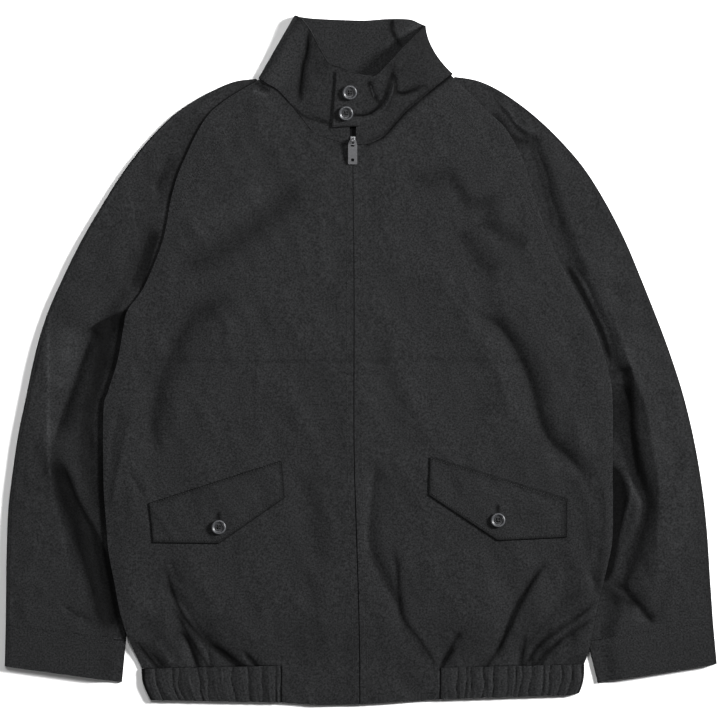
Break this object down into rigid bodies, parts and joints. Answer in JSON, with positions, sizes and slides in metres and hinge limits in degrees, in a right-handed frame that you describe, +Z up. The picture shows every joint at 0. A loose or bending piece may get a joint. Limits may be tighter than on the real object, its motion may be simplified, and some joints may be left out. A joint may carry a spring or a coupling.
{
  "type": "harrington jacket",
  "caption": "Zipped harrington jacket laid flat, with a buttoned stand collar, raglan sleeves, button-down pocket flaps, plain cuffs and a gathered hem.",
  "frame": {"origin": "centre of the part's bounding box in X and Y, on the surface that the jacket lies on", "axes": "+Z up from the surface, +Y from the hem to the collar, +X to the wearer's left, which is the viewer's right"},
  "size_m": [0.854, 0.8267, 0.0258],
  "materials": {
    "cloth": "fine matt weave",
    "button": "satin",
    "zip_tape": "woven tape",
    "metal": "worn satin"
  },
  "bodies": {
    "jacket": {"back": "cloth", "front_right": "cloth", "front_left": "cloth", "sleeve_right": "cloth", "sleeve_left": "cloth", "cuff_right": "cloth", "cuff_left": "cloth", "hem_band": "cloth", "collar": "cloth", "neck_tab": "cloth", "flap_right": "cloth", "flap_left": "cloth", "button_neck_upper": "button", "button_neck_lower": "button", "button_flap_right": "button", "button_flap_left": "button", "zip_right": "zip_tape", "zip_left": "zip_tape", "zip_slider": "metal"},
    "pull_tab": {"zip_pull": "metal"}
  },
  "joints": [
    {"name": "pull_swing", "type": "hinge", "parent": "jacket", "child": "pull_tab", "pos_m": [-0.00938, 0.2628, 0.0138], "axis": [-1, 0, 0], "range_deg": [0, 150]}
  ]
}
